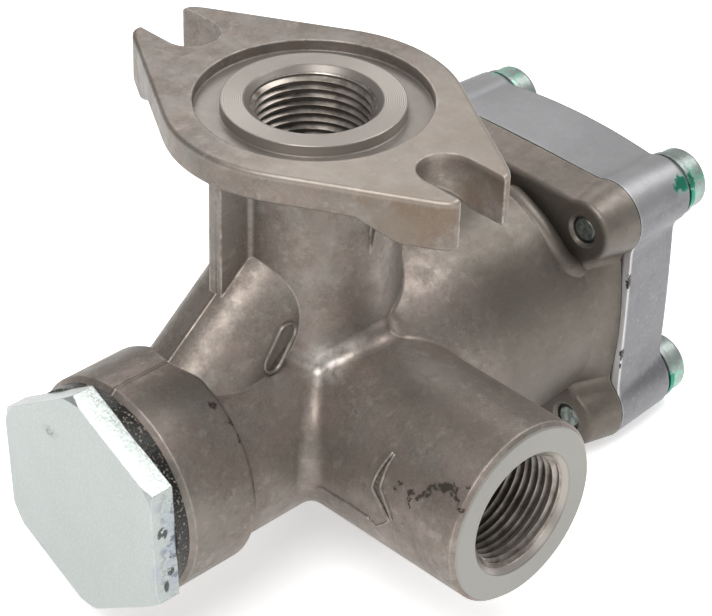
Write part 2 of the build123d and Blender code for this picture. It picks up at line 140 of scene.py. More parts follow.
def helix_ridge(name, section, pitch, turns, steps):
    """A closed ridge wound about Z: the section's (radius, height) corners in millimetres."""
    deselect()
    bpy.ops.mesh.primitive_plane_add(size=2 * MM, location=(0, 0, 0))
    ridge = bpy.context.object
    ridge.name = name
    bpy.ops.object.mode_set(mode="EDIT")
    mesh = bmesh.from_edit_mesh(ridge.data)
    for corner, (radius, height) in zip(mesh.faces[:][0].verts, section):
        corner.co = (radius * MM, 0, height * MM)
    bmesh.update_edit_mesh(ridge.data)
    bpy.ops.mesh.select_all(action="SELECT")
    bpy.ops.mesh.delete(type="ONLY_FACE")
    bpy.ops.object.mode_set(mode="OBJECT")
    wind = ridge.modifiers.new("wind", "SCREW")
    wind.axis = "Z"
    wind.angle = math.radians(360)
    wind.screw_offset = pitch * MM
    wind.iterations = turns
    wind.steps = wind.render_steps = steps
    wind.use_smooth_shade = False
    apply_modifiers(ridge)
    close_up(ridge)
    return ridge


def cut_with_cone(piece, r_low, z_low, r_high, z_high, keep):
    """Keeps what of the piece lies inside, or outside, a cone about Z."""
    deselect()
    bpy.ops.mesh.primitive_cone_add(vertices=128, radius1=r_low * MM, radius2=r_high * MM,
                                    depth=(z_high - z_low) * MM,
                                    location=(0, 0, (z_low + z_high) / 2 * MM))
    cutter = bpy.context.object
    trim = piece.modifiers.new("trim", "BOOLEAN")
    trim.operation = "INTERSECT" if keep == "inside" else "DIFFERENCE"
    trim.solver = "EXACT"
    trim.object = cutter
    apply_modifiers(piece)
    bpy.data.objects.remove(cutter, do_unlink=True)


def bead(name, route, width):
    """A thin raised bead through the route's points, given in millimetres."""
    deselect()
    bpy.ops.mesh.primitive_plane_add(size=MM, location=(0, 0, 0))
    line = bpy.context.object
    line.name = name
    bpy.ops.object.mode_set(mode="EDIT")
    bpy.ops.mesh.select_mode(type="VERT")
    bpy.ops.mesh.select_all(action="SELECT")
    bpy.ops.mesh.merge(type="CENTER")
    here = Vector(route[0]) * MM
    bpy.ops.transform.translate(value=here)
    for point in route[1:]:
        there = Vector(point) * MM
        bpy.ops.mesh.extrude_region_move(TRANSFORM_OT_translate={"value": there - here})
        here = there
    bpy.ops.object.mode_set(mode="OBJECT")
    body = line.modifiers.new("body", "SKIN")
    for point in line.data.skin_vertices[0].data:
        point.radius = (width / 2 * MM, width / 2 * MM)
    body.use_smooth_shade = True
    round_off = line.modifiers.new("round", "SUBSURF")
    round_off.levels = round_off.render_levels = 2
    apply_modifiers(line)
    close_up(line, 60)
    return line


# Pieces


def port_threads():
    """Both ports' threads; each turn is cut back by the chamfer at the port's mouth."""
    section = [(THREAD_ROOT_R, -THREAD_ROOT_HALF), (THREAD_CREST_R, -THREAD_CREST_HALF),
               (THREAD_CREST_R, THREAD_CREST_HALF), (THREAD_ROOT_R, THREAD_ROOT_HALF)]
    first = helix_ridge("port_1_thread", section, PORT_PITCH, PORT_TURNS, 96)
    # the first turn starts just above the end of the tapped length
    first.location = (0, 0, -(THREAD_L - 0.6) * MM)
    settle(first)
    # the mouth's chamfer, carried on past the face, then what would lie inside the casting
    cut_with_cone(first, THREAD_CREST_R - 0.35, -2.1, THREAD_CREST_R + 4.75, 3.0, "outside")
    cut_with_cone(first, THREAD_TRIM_R, -THREAD_L - 2, THREAD_TRIM_R, 3.0, "inside")
    close_up(first, 30)
    only(first)
    bpy.ops.object.duplicate()
    second = bpy.context.object
    second.name = "port_2_thread"
    second.rotation_euler = (math.radians(90), 0, 0)
    second.location = (0, BOSS_FACE_Y * MM, AXIS_Z * MM)
    settle(second)
    return [first, second]


def on_boss(turn, y, out):
    """A point on port 2's boss at a turn about its axis, from +X towards +Z, in degrees."""
    radius = BOSS_R + BOSS_DRAFT * (y - BOSS_FACE_Y) / -BOSS_FACE_Y + out
    return (radius * math.cos(math.radians(turn)), y,
            radius * math.sin(math.radians(turn)) + AXIS_Z)


def flow_mark():
    """The raised angle on port 2's boss: two beads with a hollow between, cast with it.

    Each route is in degrees about the boss and millimetres along Y.
    """
    outer = [(142.7, -32.9), (147.5, -32.4), (152.6, -32.0), (157.3, -31.65), (161.8, -31.4),
             (165.2, -31.3), (167.6, -31.3), (168.6, -31.45), (169.6, -31.75), (171.3, -32.3),
             (175.4, -33.7), (179.0, -34.8), (182.2, -35.9)]
    inner = [(143.2, -33.3), (150.3, -32.95), (156.0, -32.85), (161.6, -32.85), (164.8, -32.9),
             (166.0, -33.0), (167.2, -33.3), (170.9, -34.2), (175.5, -35.3), (181.6, -36.3)]
    return [bead("flow_mark_outer", [on_boss(t, y, 0.08) for t, y in outer], 0.78),
            bead("flow_mark_inner", [on_boss(t, y, 0.02) for t, y in inner], 0.6)]


def parting_lines():
    """The flash line low on port 2's boss, with its jog up to the flow mark's foot."""
    low = [(-168.0, -16.6), (-168.4, -20.5), (-169.2, -24.0), (-169.1, -27.5), (-168.7, -31.0)]
    jog = [(-168.0, -31.3), (-165.2, -32.1), (-171.0, -33.9), (-178.3, -35.8)]
    return [bead("parting_line_low", [on_boss(t, y, 0.0) for t, y in low], 0.62),
            bead("parting_line_jog", [on_boss(t, y, 0.0) for t, y in jog], 0.46)]


def pocket_rim():
    """The soft rim where the upper screw's pocket runs out on the drum, sunk at both ends.

    The route is in degrees about X from -Y up, millimetres along X, and height over the drum.
    """
    route = [(81.1, 43.3, -2.2), (73.0, 42.8, -1.8), (64.7, 42.5, -1.7), (57.0, 42.6, -1.65),
             (50.0, 42.5, -1.6), (43.9, 42.5, -1.5), (38.1, 42.7, -1.4), (34.5, 43.6, -1.4),
             (31.5, 45.3, -1.7), (28.6, 47.9, -2.7)]
    points = [(x, -(DRUM_R + out) * math.cos(math.radians(turn)),
               (DRUM_R + out) * math.sin(math.radians(turn)) + AXIS_Z)
              for turn, x, out in route]
    return bead("pocket_rim", points, POCKET_RIM_W)


def oval_pad():
    """The bare oval pad on the side of the inclined duct: a rim round a sunk floor."""
    deselect()
    bpy.ops.mesh.primitive_plane_add(size=MM, location=(0, 0, 0))
    pad = bpy.context.object
    pad.name = "oval_pad"
    pad.scale = (PAD_L, PAD_W, 1)
    settle(pad)
    bpy.ops.object.mode_set(mode="EDIT")
    bpy.ops.mesh.select_all(action="SELECT")
    # just under half the width, so that each end is round and no arcs cross
    bpy.ops.mesh.bevel(offset=PAD_W / 2 * MM * 0.999, offset_type="OFFSET", segments=12,
                       affect="VERTICES")
    bpy.ops.mesh.select_all(action="SELECT")
    bpy.ops.mesh.remove_doubles(threshold=0.01 * MM)
    bpy.ops.mesh.select_all(action="SELECT")
    bpy.ops.mesh.inset(thickness=PAD_RIM * MM)
    bpy.ops.mesh.inset(thickness=PAD_LIP * MM, depth=-PAD_SINK * MM)
    bpy.ops.object.mode_set(mode="OBJECT")
    wall = pad.modifiers.new("wall", "SOLIDIFY")
    wall.thickness = PAD_T * MM
    wall.offset = -1
    edge = pad.modifiers.new("edge", "BEVEL")
    edge.width = PAD_EDGE * MM
    edge.segments = 3
    edge.limit_method = "ANGLE"
    apply_modifiers(pad)
    close_up(pad, 40)
    pad.rotation_euler = (math.radians(90), 0, 0)
    settle(pad)
    pad.rotation_euler = (0, math.radians(PAD_TILT), 0)
    settle(pad)
    pad.location = (PAD_X * MM, PAD_Y * MM, (PAD_Z + AXIS_Z) * MM)
    settle(pad)
    return pad


# Materials


def linear(code):
    """An sRGB hex colour as the linear values that a shader takes."""
    values = [int(code[i:i + 2], 16) / 255 for i in (1, 3, 5)]
    return tuple(v / 12.92 if v <= 0.04045 else ((v + 0.055) / 1.055) ** 2.4
                 for v in values) + (1.0,)


def add(tree, kind, inputs=None, out=0, **settings):
    """Adds a node with its settings and links, and gives one of its outputs."""
    node = tree.nodes.new(kind)
    for name, value in settings.items():
        setattr(node, name, value)
    for key, value in (inputs or {}).items():
        if isinstance(value, bpy.types.NodeSocket):
            tree.links.new(value, node.inputs[key])
        else:
            node.inputs[key].default_value = value
    return node.outputs[out] if node.outputs else None


def per(millimetres):
    """The scale of a pattern whose features are this large."""
    return 1000.0 / millimetres


def span(low, high, to_low=0.0, to_high=1.0):
    """The four ends of a range and of what it becomes."""
    return {"From Min": low, "From Max": high, "To Min": to_low, "To Max": to_high}


def along(low, high):
    """The same for a mask that goes from 0 to 1 between two places, in millimetres."""
    return span(low * MM, high * MM)


def start(name):
    """A new material with an empty tree, and the place on the object that patterns use."""
    material = bpy.data.materials.new(name)
    material.use_nodes = True
    tree = material.node_tree
    tree.nodes.clear()
    return material, tree, add(tree, "ShaderNodeTexCoord", out="Object")


def blotches(tree, place, size, low, high, detail=5.0):
    """Soft uneven patches of a size in millimetres; more of them as low and high fall."""
    field = add(tree, "ShaderNodeTexNoise", {"Vector": place, "Scale": per(size),
                                             "Detail": detail, "Roughness": 0.6})
    return add(tree, "ShaderNodeMapRange", {"Value": field, **span(low, high)},
               interpolation_type="SMOOTHSTEP")


def where_all(tree, *masks):
    """1 only where every mask is 1."""
    total = masks[0]
    for mask in masks[1:]:
        total = add(tree, "ShaderNodeMath", {0: total, 1: mask}, operation="MULTIPLY")
    return total


def where_any(tree, *masks):
    """1 where at least one mask is 1."""
    total = masks[0]
    for mask in masks[1:]:
        total = add(tree, "ShaderNodeMath", {0: total, 1: mask}, operation="MAXIMUM")
    return total


def worn_edges(tree, radius, sharp=0.86):
    """1 on the edges, fading to 0 over a radius in millimetres."""
    soft = add(tree, "ShaderNodeBevel", {"Radius": radius * MM}, samples=6)
    hard = add(tree, "ShaderNodeNewGeometry", out="Normal")
    same = add(tree, "ShaderNodeVectorMath", {0: soft, 1: hard}, out="Value",
               operation="DOT_PRODUCT")
    return add(tree, "ShaderNodeMapRange", {"Value": same, **span(0.995, sharp)},
               interpolation_type="SMOOTHSTEP")


def corner_dirt_and_shade(tree, reach):
    """1 deep in hollows and inner corners, over a reach in millimetres: painted shade there, with
    dirt.
    """
    open_air = add(tree, "ShaderNodeAmbientOcclusion", {"Distance": reach * MM}, out="AO",
                   samples=8)
    return add(tree, "ShaderNodeMapRange", {"Value": open_air, **span(0.75, 0.25)},
               interpolation_type="SMOOTHSTEP")


def dab(tree, place, centre, reach, squash=(1, 1, 1)):
    """1 at a point, fading to 0 at the reach, in millimetres."""
    gap = add(tree, "ShaderNodeVectorMath", {0: place, 1: Vector(centre) * MM},
              operation="SUBTRACT")
    gap = add(tree, "ShaderNodeVectorMath", {0: gap, 1: squash}, operation="MULTIPLY")
    far = add(tree, "ShaderNodeVectorMath", {0: gap}, out="Value", operation="LENGTH")
    return add(tree, "ShaderNodeMapRange", {"Value": far, **span(reach * MM, 0.0)},
               interpolation_type="SMOOTHSTEP")


def ring_about(tree, place, centre, flat, inner, outer, soft=0.05):
    """A ring about a line, with radii in millimetres: its mask, and the radius itself."""
    shift = add(tree, "ShaderNodeVectorMath", {0: place, 1: Vector(centre) * MM},
                operation="SUBTRACT")
    across = add(tree, "ShaderNodeVectorMath", {0: shift, 1: flat}, operation="MULTIPLY")
    radius = add(tree, "ShaderNodeVectorMath", {0: across}, out="Value", operation="LENGTH")
    rise = add(tree, "ShaderNodeMapRange",
               {"Value": radius, **along(inner - soft, inner + soft)})
    fall = add(tree, "ShaderNodeMapRange",
               {"Value": radius, **along(outer + soft, outer - soft)})
    return where_all(tree, rise, fall), radius


def layer(tree, under, mask, strength, colour, rough):
    """Lays a colour and a roughness over the pair under it, as far as mask and strength say."""
    share = where_all(tree, mask, strength)
    return (add(tree, "ShaderNodeMix", {0: share, 6: under[0], 7: linear(colour)}, out=2,
                data_type="RGBA"),
            add(tree, "ShaderNodeMix", {0: share, 2: under[1], 3: rough}, data_type="FLOAT"))


def finish_with(tree, look, metallic, normal):
    """Joins colour, roughness and relief in the surface."""
    surface = add(tree, "ShaderNodeBsdfPrincipled",
                  {"Base Color": look[0], "Roughness": look[1], "Metallic": metallic,
                   "Normal": normal})
    add(tree, "ShaderNodeOutputMaterial", {"Surface": surface})


def body_tones(tree, place, axes, grain):
    """The passivated skin: brown-grey clouds and mottling, with drifts over larger places, and
    painted shade on the drum.
    """
    x, y, z = axes
    clouds = blotches(tree, place, 15, 0.32, 0.68)
    small = blotches(tree, place, 3.2, 0.36, 0.66)
    tone = add(tree, "ShaderNodeMix", {0: clouds, 6: linear("#796f67"), 7: linear("#8d837b")},
               out=2, data_type="RGBA")
    gloss = add(tree, "ShaderNodeMapRange", {"Value": small, **span(0, 1, 0.40, 0.50)})
    look = layer(tree, (tone, gloss), small, 0.42, "#6d655d", 0.52)
    look = layer(tree, look, blotches(tree, place, 1.4, 0.50, 0.66), 0.30, "#5f574f", 0.54)
    look = layer(tree, look, blotches(tree, place, 2.1, 0.54, 0.68), 0.30, "#aaa29a", 0.40)
    flecks = add(tree, "ShaderNodeMapRange", {"Value": grain, **span(0.46, 0.66)})
    look = layer(tree, look, flecks, 0.12, "#b9afa6", 0.44)
    # the tone drifts to pinkish brown and to grey-green, and painted shade darkens the drum
    look = layer(tree, look, blotches(tree, place, 7, 0.48, 0.62), 0.35, "#8c7d76", 0.46)
    look = layer(tree, look, blotches(tree, place, 11, 0.50, 0.66), 0.35, "#7b7c75", 0.44)
    drum = add(tree, "ShaderNodeMapRange", {"Value": x, **along(16.0, 26.0)})
    low = add(tree, "ShaderNodeMapRange", {"Value": z, **along(-20.0, -34.0)})
    look = layer(tree, look, where_all(tree, drum, low), 0.65, "#5b564e", 0.46)
    # cool grey bloom in the lee of the flange, and a brown stain below the ear towards -Y
    bloom = where_all(tree, blotches(tree, place, 8, 0.42, 0.66),
                      add(tree, "ShaderNodeMapRange", {"Value": z, **along(-45.0, -12.0)}))
    look = layer(tree, look, bloom, 0.35, "#8a8a86", 0.46)
    stain = where_all(tree, blotches(tree, place, 9, 0.40, 0.60),
                      add(tree, "ShaderNodeMapRange", {"Value": y, **along(-4.0, -30.0)}),
                      add(tree, "ShaderNodeMapRange", {"Value": z, **along(-30.0, -3.0)}))
    return layer(tree, look, stain, 0.55, "#776350", 0.52)


def body_wear_and_painted_light(tree, place, axes, look):
    """Edges rubbed pale, a painted highlight on the roots, painted light on the flange's top face,
    and shade in the notch between flange and drum.
    """
    _, y, z = axes
    rubbed = where_all(tree, worn_edges(tree, 0.8), blotches(tree, place, 2.4, 0.34, 0.58))
    look = layer(tree, look, rubbed, 0.6, "#c9c2bb", 0.36)
    # painted highlight on the fillets where stem, duct and boss meet
    painted_fillet_highlight = where_any(tree, dab(tree, place, (-9.6, -13.5, AXIS_Z + 15.3), 5.0),
                          dab(tree, place, (-4.1, -12.5, AXIS_Z + 16.4), 4.5))
    painted_fillet_highlight = where_all(tree, painted_fillet_highlight, blotches(tree, place, 1.6, 0.30, 0.56))
    look = layer(tree, look, painted_fillet_highlight, 0.8, "#cdc8c3", 0.30)
    shade = where_any(tree, dab(tree, place, (43.4, -19.5, AXIS_Z + 15.4), 3.5, (0.8, 1, 1)),
                      dab(tree, place, (45.4, -22.6, AXIS_Z + 13.4), 3.5, (0.8, 1, 1)))
    shade = add(tree, "ShaderNodeMapRange", {"Value": shade, **span(0.0, 0.45)})
    look = layer(tree, look, shade, 0.4, "#4f4740", 0.6)
    # painted light: the top face of the flange is painted paler towards -Y
    pale = where_all(tree, add(tree, "ShaderNodeMapRange", {"Value": z, **along(-1.2, -0.4)}),
                     add(tree, "ShaderNodeMapRange", {"Value": y, **along(2.0, -14.0)}))
    return layer(tree, look, pale, 0.35, "#c9bfb5", 0.44)


def body_turned_faces(tree, place, axes, look):
    """The ring and groove round port 1, port 2's face and both bores, turned after casting.

    Gives the look, the mask of the bare turned faces, and the height of the lathe's rings.
    """
    _, y, z = axes
    lip_r = PORT_MOUTH_R + 0.1
    groove_z = -RECESS_DEPTH
    ring, radius_1 = ring_about(tree, place, (0, 0, 0), (1, 1, 0), lip_r, RING_R + 0.1)
    ring = where_all(tree, ring, add(tree, "ShaderNodeMapRange",
                                     {"Value": z, **along(groove_z - 0.2, groove_z + 0.2)}))
    groove = where_all(tree, ring_about(tree, place, (0, 0, 0), (1, 1, 0), RING_R, RECESS_R)[0],
                       add(tree, "ShaderNodeMapRange",
                           {"Value": z, **along(groove_z + 0.4, groove_z + 0.1)}),
                       add(tree, "ShaderNodeMapRange",
                           {"Value": z, **along(groove_z - 1.0, groove_z - 0.5)}))
    look = layer(tree, look, groove, 0.7, "#98928c", 0.42)
    bore_1 = where_all(tree, ring_about(tree, place, (0, 0, 0), (1, 1, 0), 0.0, lip_r)[0],
                       add(tree, "ShaderNodeMapRange",
                           {"Value": z, **along(-THREAD_L - 2.2, -THREAD_L - 1.8)}))
    face_2 = add(tree, "ShaderNodeMapRange",
                 {"Value": y, **along(BOSS_FACE_Y + 0.25, BOSS_FACE_Y + 0.15)})
    bore_2, radius_2 = ring_about(tree, place, (0, 0, AXIS_Z), (1, 0, 1), 0.0, lip_r)
    thread_end = BOSS_FACE_Y + THREAD_L
    bore_2 = where_all(tree, bore_2, add(tree, "ShaderNodeMapRange",
                                         {"Value": y, **along(thread_end + 0.6,
                                                              thread_end + 0.2)}))
    turned = where_any(tree, ring, bore_1, face_2, bore_2)
    look = layer(tree, look, turned, 0.9, "#a8a19a", 0.33)
    # painted reflection: port 2's face is painted a darker grey-green than the other turned faces
    look = layer(tree, look, face_2, 0.85, "#8a8a84", 0.36)
    # painted shade: the chamfer at port 1's mouth is painted darker
    mouth = where_all(tree, add(tree, "ShaderNodeMapRange",
                                {"Value": radius_1, **along(lip_r, PORT_MOUTH_R)}),
                      add(tree, "ShaderNodeMapRange", {"Value": z, **along(-2.0, -1.2)}))
    look = layer(tree, look, mouth, 0.65, "#6e6862", 0.46)
    cuts = []
    for radius, face in ((radius_1, ring), (radius_2, face_2)):
        wave = add(tree, "ShaderNodeMath", {0: radius, 1: per(LATHE_FEED) * 2 * math.pi},
                   operation="MULTIPLY")
        wave = add(tree, "ShaderNodeMath", {0: wave}, operation="SINE")
        cuts.append(where_all(tree, wave, face))
    cuts = add(tree, "ShaderNodeMath", {0: cuts[0], 1: cuts[1]}, operation="ADD")
    return look, turned, cuts


def body_grime_and_shade(tree, place, axes, look):
    """Dirt in the joint, painted shade with dirt in inner corners, painted shadow between the flow
    mark's beads, painted shade behind the collar and dirt on port 2's boss.

    The spots on the boss are in degrees about it and millimetres along Y.
    """
    joint = add(tree, "ShaderNodeMapRange",
                {"Value": axes[0], **along(JOINT_X - 0.30, JOINT_X - 0.12)})
    look = layer(tree, look, joint, 0.85, "#241f1b", 0.6)
    # painted shade, with dirt, in the body's inner corners
    look = layer(tree, look, corner_dirt_and_shade(tree, 2.0), 0.45, "#4a423b", 0.6)
    # painted shadow between the flow mark's two beads
    hollow = [(147.5, -32.8), (151, -32.55), (154.5, -32.4), (158, -32.25), (161.5, -32.15),
              (165, -32.15), (168, -32.3), (170.5, -33.1), (173, -33.8), (175.5, -34.5),
              (178, -35.1)]
    hollow = where_any(tree, *[dab(tree, place, on_boss(turn, along_y, 0), 0.9)
                               for turn, along_y in hollow])
    look = layer(tree, look, hollow, 0.6, "#4a433c", 0.55)
    # painted shade in the crease behind the collar, and the dark wandering line of dirt beside the
    # flow mark
    creases = [((-29.4, -13.3, AXIS_Z + 14.0), 1.9), ((-29.3, -15.3, AXIS_Z + 11.6), 1.7),
               ((-31.4, -10.4, AXIS_Z + 16.1), 1.3), ((-28.9, -17.0, AXIS_Z + 9.3), 1.1),
               ((-23.1, -9.0, AXIS_Z + 23.0), 1.3), ((-23.3, -8.8, AXIS_Z + 21.7), 0.8)]
    trail = [((156.3, -36.2), 0.8), ((160.6, -35.6), 0.6), ((157.2, -38.9), 1.1),
             ((161.5, -39.0), 0.8), ((164.9, -39.2), 0.6), ((159.1, -40.5), 0.9),
             ((156.2, -41.0), 0.9), ((153.4, -41.5), 1.0), ((150.6, -42.0), 1.1),
             ((148.0, -42.6), 1.2), ((146.0, -43.4), 1.3), ((144.5, -44.2), 1.5),
             ((143.2, -45.2), 1.6), ((143.6, -46.2), 1.3), ((146.0, -47.0), 0.9),
             ((148.4, -47.7), 0.8), ((151.0, -48.5), 0.7), ((137.7, -47.8), 0.6)]
    # a noise moves each point by up to this much, so that the spots are ragged
    stray = 2.2 * MM
    wander = add(tree, "ShaderNodeTexNoise", {"Vector": place, "Scale": per(0.8), "Detail": 4.0},
                 out="Color")
    wander = add(tree, "ShaderNodeVectorMath", {0: wander, 1: (0.5, 0.5, 0.5)},
                 operation="SUBTRACT")
    strayed = add(tree, "ShaderNodeVectorMath", {0: wander, 1: (stray, stray, stray), 2: place},
                  operation="MULTIPLY_ADD")
    spots = [dab(tree, strayed, centre, reach) for centre, reach in creases]
    spots += [dab(tree, strayed, on_boss(turn, along_y, 0), reach)
              for (turn, along_y), reach in trail]
    ragged = blotches(tree, place, 0.9, 0.44, 0.56)
    ragged = add(tree, "ShaderNodeMapRange", {"Value": ragged, **span(0, 1, 0.35, 1.0)})
    # the spots are painted shade behind the collar and dirt beside the flow mark
    grime = where_all(tree, where_any(tree, *spots), ragged)
    grime = add(tree, "ShaderNodeMapRange", {"Value": grime, **span(0.12, 0.4)})
    return layer(tree, look, grime, 0.9, "#3a332d", 0.6)


def body_relief(tree, place, axes, grain, turned, cuts):
    """Soft edges, the lathe's rings, the die's parting line and a faint cast skin."""
    x, y, z = axes
    normal = add(tree, "ShaderNodeBevel", {"Radius": 0.45 * MM}, samples=6)
    normal = add(tree, "ShaderNodeBump", {"Height": cuts, "Distance": 0.014 * MM,
                                          "Normal": normal})
    # the parting line runs over the duct and the collar, in the plane of symmetry
    middle = add(tree, "ShaderNodeMath", {0: y}, operation="ABSOLUTE")
    seam = where_all(tree, add(tree, "ShaderNodeMapRange", {"Value": middle, **along(0.4, 0.12)}),
                     add(tree, "ShaderNodeMapRange", {"Value": x, **along(-13.0, -16.0)}),
                     add(tree, "ShaderNodeMapRange", {"Value": z, **along(-50.0, -45.0)}),
                     add(tree, "ShaderNodeMapRange", {"Value": z, **along(-9.5, -11.0)}))
    normal = add(tree, "ShaderNodeBump", {"Height": seam, "Distance": 0.13 * MM,
                                          "Normal": normal})
    cast = add(tree, "ShaderNodeMath", {0: 1.0, 1: turned}, operation="SUBTRACT")
    dents = add(tree, "ShaderNodeTexNoise", {"Vector": place, "Scale": per(4), "Detail": 2.0})
    normal = add(tree, "ShaderNodeBump", {"Height": where_all(tree, dents, cast),
                                          "Distance": 0.12 * MM, "Normal": normal})
    return add(tree, "ShaderNodeBump", {"Height": where_all(tree, grain, cast),
                                        "Distance": 0.018 * MM, "Normal": normal})


def cast_body():
    """Aluminium, gravity cast in a die, shot blasted and passivated.

    The fine blasting gives a smooth soft sheen with hardly any relief; the passivation gives a
    brown-grey tone that clouds from place to place, and rubs off pale on the edges. Faces that
    seal are turned after casting, so they are paler and carry fine rings.
    """
    material, tree, place = start("cast_aluminium_blasted_passivated")
    axes = [add(tree, "ShaderNodeSeparateXYZ", {0: place}, out=axis) for axis in "XYZ"]
    grain = add(tree, "ShaderNodeTexNoise", {"Vector": place, "Scale": per(0.45), "Detail": 3.0})
    look = body_tones(tree, place, axes, grain)
    look = body_wear_and_painted_light(tree, place, axes, look)
    look, turned, cuts = body_turned_faces(tree, place, axes, look)
    look = body_grime_and_shade(tree, place, axes, look)
    finish_with(tree, look, 0.7, body_relief(tree, place, axes, grain, turned, cuts))
    return material


def cast_cover():
    """Aluminium, pressure die cast and left bare: cooler and paler than the body.

    The die gives a smooth skin with faint flow clouds and a soft silvery sheen; handling leaves
    it brighter on the edges and dark in a few knocks beside the joint.
    """
    material, tree, place = start("die_cast_aluminium_bare")
    x, y, z = (add(tree, "ShaderNodeSeparateXYZ", {0: place}, out=axis) for axis in "XYZ")
    normal = add(tree, "ShaderNodeBevel", {"Radius": 0.4 * MM}, samples=6)
    clouds = blotches(tree, place, 9, 0.32, 0.68)
    specks = add(tree, "ShaderNodeTexNoise", {"Vector": place, "Scale": per(0.7), "Detail": 4.0})
    tone = add(tree, "ShaderNodeMix", {0: clouds, 6: linear("#747376"), 7: linear("#828184")},
               out=2, data_type="RGBA")
    gloss = add(tree, "ShaderNodeMapRange", {"Value": clouds, **span(0, 1, 0.42, 0.48)})
    look = layer(tree, (tone, gloss), blotches(tree, place, 3.5, 0.52, 0.64), 0.3, "#67666a",
                 0.48)
    bright = add(tree, "ShaderNodeMapRange", {"Value": specks, **span(0.56, 0.70)})
    look = layer(tree, look, bright, 0.15, "#bdbdbe", 0.38)
    look = layer(tree, look, worn_edges(tree, 0.7), 0.45, "#d6d6d6", 0.34)
    # painted light: the ledge that stands out past the body's waist is painted bright, most of all
    # in front
    height = add(tree, "ShaderNodeMath", {0: z, 1: AXIS_Z * MM}, operation="SUBTRACT")
    height = add(tree, "ShaderNodeMath", {0: height}, operation="ABSOLUTE")
    ledge = where_all(tree, add(tree, "ShaderNodeMapRange",
                                {"Value": x, **along(JOINT_X + 0.7, JOINT_X + 0.4)}),
                      add(tree, "ShaderNodeMapRange", {"Value": y, **along(-23.5, -24.0)}),
                      add(tree, "ShaderNodeMapRange", {"Value": height, **along(16.5, 15.5)}))
    look = layer(tree, look, ledge, 0.6, "#c2c2c4", 0.5)
    front = where_all(tree, ledge, add(tree, "ShaderNodeMapRange",
                                       {"Value": x, **along(JOINT_X + 0.12, JOINT_X + 0.05)}))
    look = layer(tree, look, front, 0.9, "#f2f2f2", 0.5)
    # painted light: the cover's top is painted paler
    top = add(tree, "ShaderNodeMapRange", {"Value": z, **along(AXIS_Z + 21.0, AXIS_Z + 24.5)})
    look = layer(tree, look, top, 0.5, "#b9b9ba", 0.44)
    # painted shade, with dirt, in the cover's inner corners
    look = layer(tree, look, corner_dirt_and_shade(tree, 0.4), 0.4, "#3a3836", 0.6)
    knocks = where_any(tree, dab(tree, place, (52.9, -25.5, AXIS_Z + 8.7), 1.3, (1, 1, 0.5)),
                       dab(tree, place, (53.1, -25.5, AXIS_Z - 6.9), 1.0, (1, 1, 0.5)),
                       dab(tree, place, (52.7, -25.5, AXIS_Z - 9.3), 0.8, (1, 1, 0.6)))
    knocks = where_all(tree, knocks, blotches(tree, place, 0.8, 0.40, 0.52))
    knocks = add(tree, "ShaderNodeMapRange", {"Value": knocks, **span(0.1, 0.35)})
    look = layer(tree, look, knocks, 1.0, "#4b4a49", 0.5)
    look = paint(tree, place, look)
    flow = add(tree, "ShaderNodeTexNoise", {"Vector": place, "Scale": per(4), "Detail": 2.0})
    normal = add(tree, "ShaderNodeBump", {"Height": flow, "Distance": 0.08 * MM,
                                          "Normal": normal})
    normal = add(tree, "ShaderNodeBump", {"Height": specks, "Distance": 0.018 * MM,
                                          "Normal": normal})
    finish_with(tree, look, 0.78, normal)
    return material


def paint(tree, place, look):
    """Green marking paint: thick dabs over two screw heads, thin smears round them and a third."""
    strokes = [((66.0, -26.2, AXIS_Z + 24.2), 3.2, (0.75, 1, 1.2)),
               ((68.6, -26.0, AXIS_Z + 24.4), 2.8, (1.4, 1, 0.7)),
               ((68.2, -26.6, AXIS_Z + 20.6), 2.0, (1.3, 1, 0.45)),
               ((70.2, -25.4, AXIS_Z + 25.6), 2.6, (0.8, 1, 1.3)),
               ((68.2, -26.4, AXIS_Z - 20.4), 2.2, (1.3, 1, 0.5)),
               ((68.6, -24.8, AXIS_Z - 23.8), 2.0, (1.2, 0.8, 0.6))]
    smears = [((69.0, 21.0, AXIS_Z + 26.2), 4.0, (0.7, 0.5, 1)),
              ((70.6, -24.6, AXIS_Z + 22.0), 4.2, (1, 1, 0.7)),
              ((70.4, -25.0, AXIS_Z - 21.0), 4.5, (1, 1, 0.7))]
    smeared = where_all(tree, where_any(tree, *[dab(tree, place, *smear) for smear in smears]),
                        blotches(tree, place, 1.8, 0.42, 0.60))
    smeared = add(tree, "ShaderNodeMapRange", {"Value": smeared, **span(0.12, 0.5)})
    look = layer(tree, look, smeared, 0.55, "#7fc9af", 0.4)
    dabs = where_any(tree, *[dab(tree, place, *stroke) for stroke in strokes])
    brush = blotches(tree, place, 1.4, 0.30, 0.62)
    ragged = add(tree, "ShaderNodeMath", {0: dabs, 1: where_all(tree, brush, 0.45)},
                 operation="ADD")
    thin = add(tree, "ShaderNodeMapRange", {"Value": dabs, **span(0.02, 0.5)})
    look = layer(tree, look, thin, 0.5, "#9fd8c2", 0.38)
    thick = add(tree, "ShaderNodeMapRange", {"Value": ragged, **span(0.52, 0.66)})
    return layer(tree, look, thick, 0.93, "#138066", 0.32)


def screw_marks(tree, place, look):
    """Painted shade with dirt under the screws' flanges, pitted tips and the green paint."""
    x = add(tree, "ShaderNodeSeparateXYZ", {0: place}, out="X")
    # painted shade, with dirt, under the screws' flanges
    look = layer(tree, look, corner_dirt_and_shade(tree, 1.0), 0.3, "#5c6460", 0.5)
    tip = add(tree, "ShaderNodeMapRange",
              {"Value": x, **along(SCREW_TIP_X + 0.2, SCREW_TIP_X + 0.1)})
    pitted = where_all(tree, tip, blotches(tree, place, 0.9, 0.44, 0.52, 3.0))
    look = layer(tree, look, pitted, 0.55, "#4a4d45", 0.6)
    return paint(tree, place, look)


